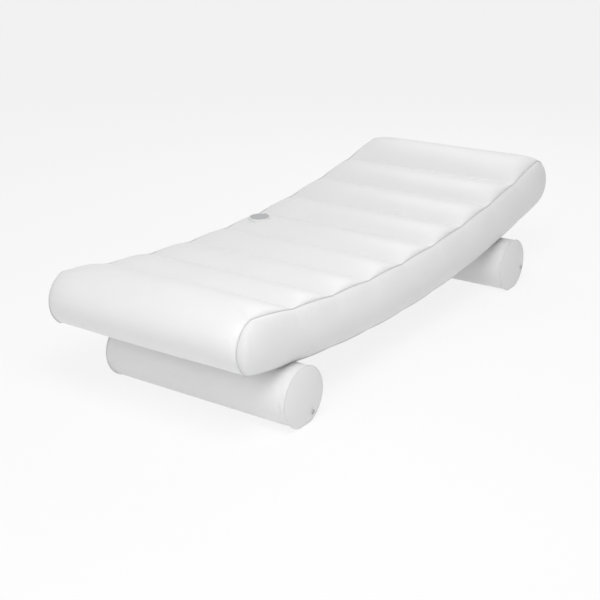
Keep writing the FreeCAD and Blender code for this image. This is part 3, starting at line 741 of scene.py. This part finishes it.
valve_low, valve_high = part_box("mattress_valve_collar")
valve_centre = np.array([(valve_low.x + valve_high.x) / 2, (valve_low.y + valve_high.y) / 2])
from_valve = np.linalg.norm(mattress_points[:, :2] - valve_centre, axis=1)
above_valve_reach = mattress_points[:, 2] > valve_low.z - VALVE_REACH
under_valve = np.nonzero((from_valve < VALVE_HOLD) & above_valve_reach)[0]
held = set(seam_points) | set(crease_points) | set(under_valve)
row_caps = np.full(row_length, TOP_CAP)
row_caps[:END_STEPS] = FOOT_END_CAP
row_caps[END_STEPS + LENGTH_STEPS:] = UNDER_CAP
caps = np.full(total_points, TOP_CAP)
caps[:len(rows) * row_length] = np.tile(row_caps, len(rows))
blown = blow_up(mattress, sorted(held), SPARE_FILM, caps)
blown = keep_off_bolsters(blown, FILM_GAP)
put_points(mattress, blown)
print("mattress box:", [round(float(size), 3) for size in blown.max(axis=0) - blown.min(axis=0)])

# %% [markdown]
# The film is cut out under the mattress valve, as the real one is, so that an open cap shows the bore
# and not white film. The cut is made after the blowing up, because pressure needs a closed skin, and
# its rough rim stays hidden under the valve's seat. Then the mattress takes the place of the four
# solids that stand for it.

# %% Valve opening and finish
OPENING = 0.027


def cut_opening(skin, centre, axes, radius, level, above):
    """Deletes the faces of a skin near a centre, on one side of a level along the third axis."""
    bpy.ops.object.select_all(action="DESELECT")
    bpy.context.view_layer.objects.active = skin
    skin.select_set(True)
    bpy.ops.object.mode_set(mode="EDIT")
    bpy.ops.mesh.select_all(action="DESELECT")
    bpy.ops.object.mode_set(mode="OBJECT")
    third = 3 - sum(axes)
    found = 0
    for face in skin.data.polygons:
        off = math.dist([face.center[axis] for axis in axes], centre)
        if off < radius and (face.center[third] > level) == above:
            face.select = True
            found += 1
    bpy.ops.object.mode_set(mode="EDIT")
    bpy.ops.mesh.select_mode(type="FACE")
    bpy.ops.mesh.delete(type="FACE")
    bpy.ops.object.mode_set(mode="OBJECT")
    return found


def finish_film(skin, *replaced):
    skin.data.materials.append(film_white)
    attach(skin, "lounger")
    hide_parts(*replaced)


cut = cut_opening(mattress, list(valve_centre), (0, 1), OPENING, valve_low.z - VALVE_REACH, True)
finish_film(mattress, "mattress_top_sheet", "mattress_bottom_sheet",
            "left_side_panel", "right_side_panel")
print("faces cut out under the valve:", cut)

# %% [markdown]
# All round each side seam, and round the ends of the bolsters, the welded edge of the film stands out
# as a thin welt. It is laid as a narrow strip on the seam's own points and given its thickness by
# Solidify, which is how such an edge is built up: two films on top of each other.

# %% Welts
WELT_WIDTH = 0.003
WELT_THICKNESS = 0.0014
WELT_ROOT = 0.001
WELT_GAP = 0.001


def welt(name, root, tip, pull, *replaced):
    """Closed strip from a row of root points to a row of tips, with Solidify for its thickness."""
    total = len(root)
    strip = np.concatenate([root, tip])
    faces = [(i, (i + 1) % total, total + (i + 1) % total, total + i) for i in range(total)]
    skin = skin_object(name, strip, faces)
    set_mask(skin, "pull_across", np.zeros(2 * total))
    # The pull set here also sets the painted seam shade of the welt, full for a pull of 1.
    set_mask(skin, "pull_along_and_shade", np.full(2 * total, pull))
    wall = skin.modifiers.new("wall", "SOLIDIFY")
    wall.thickness = WELT_THICKNESS
    wall.offset = 0.0
    bpy.ops.object.modifier_apply(modifier="wall")
    finish_film(skin, *replaced)
    return skin


for name, row, side in (("right", 0, -1), ("left", len(rows) - 1, 1)):
    root = blown[row * row_length:(row + 1) * row_length]
    flat = root[:, (0, 2)]
    tangent = np.roll(flat, -1, axis=0) - np.roll(flat, 1, axis=0)
    tangent /= np.linalg.norm(tangent, axis=1)[:, None]
    outward = np.column_stack([-tangent[:, 1], np.zeros(row_length), tangent[:, 0]])
    root = root + (0, side * WELT_THICKNESS / 2, 0)
    tip = keep_off_bolsters(root + outward * WELT_WIDTH, WELT_GAP)
    # The side welts take the full painted seam shade.
    strip = welt(name + "_seam_welt", root - outward * WELT_ROOT, tip, 1.0, name + "_seam_fin")
    print(strip.name, len(strip.data.polygons), "faces")

# %% [markdown]
# A bolster is a tube of film with a round disc welded into each end. Blown up, the discs bulge and
# the tube puckers next to the welds. It starts as rings of points round its axis, from the middle of
# one disc to the middle of the other, and is blown up like the mattress, held at the two welds, along
# the line where it carries the mattress and round its valve. Its underside is flat on the floor.

# %% Bolsters
AROUND = 80
DISC_RINGS = 9
TUBE_RINGS = 66
RING_FADE = 0.028
RING_WELT = 0.0026
# The ring pull also gives the bolster welds a faint line of painted seam shade.
RING_PULL_AND_SHADE = 0.96
BOLSTER_SPARE = -0.003
DISC_CAP, TUBE_CAP = 0.006, 0.0025
STEM_HOLD = 0.022
CARRIED_ANGLE = 0.25
CARRIED_ROOM = 0.0008
RING_FLOOR = 0.0005


def bolster_rings(name):
    """Radius and place along Y of each ring of a bolster, and the two rings that are welds."""
    low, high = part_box(name + "_bolster_tube")
    radius = (high.x - low.x) / 2
    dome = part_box(name + "_bolster_left_end")[1].y - high.y
    disc = radius * np.sin(math.pi / 2 * np.arange(1, DISC_RINGS + 1) / DISC_RINGS)
    bulge = dome * (1 - (disc / radius) ** 2)
    even = np.arange(1, TUBE_RINGS) / TUBE_RINGS
    shares = 0.4 * even + 0.3 * (1 - np.cos(math.pi * even))
    tube = low.y + shares * (high.y - low.y)
    places = np.concatenate([low.y - bulge, tube, (high.y + bulge)[::-1]])
    radii = np.concatenate([disc, np.full(len(tube), radius), disc[::-1]])
    return radii, places, dome, (DISC_RINGS - 1, DISC_RINGS + len(tube))


def bolster_skin(name):
    radii, places, dome, welds = bolster_rings(name)
    axis_x, axis_z, radius = bolster_place(name)
    angles = 2 * math.pi * np.arange(AROUND) / AROUND
    points = [(axis_x, places[0] - dome * 0.02, axis_z)]
    for ring, place in zip(radii, places):
        points += [(axis_x + ring * math.sin(angle), place, axis_z + ring * math.cos(angle))
                   for angle in angles]
    points.append((axis_x, places[-1] + dome * 0.02, axis_z))
    last = len(points) - 1
    faces = [(0, 1 + i, 1 + (i + 1) % AROUND) for i in range(AROUND)]
    for ring in range(len(radii) - 1):
        low, high = 1 + ring * AROUND, 1 + (ring + 1) * AROUND
        faces += [(low + i, high + i, high + (i + 1) % AROUND, low + (i + 1) % AROUND)
                  for i in range(AROUND)]
    rim = 1 + (len(radii) - 1) * AROUND
    faces += [(last, rim + (i + 1) % AROUND, rim + i) for i in range(AROUND)]
    return np.array(points), faces, welds, places


def make_bolster(name):
    points, faces, welds, places = bolster_skin(name)
    skin = skin_object(name + "_bolster", points, faces)
    axis_x, axis_z, radius = bolster_place(name)
    rings = np.array([np.arange(1 + weld * AROUND, 1 + (weld + 1) * AROUND) for weld in welds])
    low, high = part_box(name + "_valve_base")
    valve = np.array([(low.x + high.x) / 2, (low.z + high.z) / 2])
    near_valve = np.linalg.norm(points[:, (0, 2)] - valve, axis=1) < STEM_HOLD
    near_valve &= points[:, 1] < places[welds[0]] + 0.001
    tilt = np.arctan2(points[:, 0] - axis_x, points[:, 2] - axis_z)
    carried = (np.abs(tilt) < CARRIED_ANGLE) & (np.abs(points[:, 1] - middle_y) < half_width)
    held = set(rings.ravel()) | set(np.nonzero(near_valve | carried)[0])
    weld_distance = np.minimum(np.abs(points[:, 1] - places[welds[0]]),
                               np.abs(points[:, 1] - places[welds[1]]))
    on_disc = (points[:, 1] < places[welds[0]]) | (points[:, 1] > places[welds[1]])
    from_axis = np.linalg.norm(points[:, (0, 2)] - (axis_x, axis_z), axis=1)
    weld_distance = np.where(on_disc, radius - from_axis, weld_distance)
    set_mask(skin, "pull_across", np.zeros(len(points)))
    # Near the welds this mask also tints the film with a faint painted seam shade.
    set_mask(skin, "pull_along_and_shade", RING_PULL_AND_SHADE * np.exp(-np.maximum(weld_distance, 0) / RING_FADE))
    swollen = blow_up(skin, sorted(held), BOLSTER_SPARE, np.where(on_disc, DISC_CAP, TUBE_CAP))
    swollen[:, 2] = np.maximum(swollen[:, 2], 0.0)
    put_points(skin, swollen)
    carried_below = axis_z + radius + CARRIED_ROOM
    for side, ring in zip(("right", "left"), rings):
        root = swollen[ring]
        outward = root - (axis_x, root[0, 1], axis_z)
        outward[:, 1] = 0
        outward /= np.linalg.norm(outward, axis=1)[:, None]
        tip = root + outward * RING_WELT
        tip[:, 2] = np.clip(tip[:, 2], RING_FLOOR, carried_below)
        ring_name = name + "_bolster_" + side + "_ring"
        welt(name + "_" + side + "_end_welt", root - outward * WELT_ROOT, tip, RING_PULL_AND_SHADE, ring_name)
    finish_film(skin, name + "_bolster_tube", name + "_bolster_right_end", name + "_bolster_left_end")
    return skin


for name in ("front", "rear"):
    skin = make_bolster(name)
    print(skin.name, len(skin.data.vertices), "points")

# %% [markdown]
# What is left of the loaded model are the valves, the weld strips under the mattress and the baffles
# inside it. Their shapes are right, so they only get the finished materials, slot by slot: the slot's
# name says which finish a piece has.

# %% Finishes of the loaded pieces
dressed = 0
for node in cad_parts.values():
    for slot in node.material_slots:
        slot.material = finishes[slot.material.name.split(".")[0]]
        dressed += 1
print("slots dressed:", dressed)
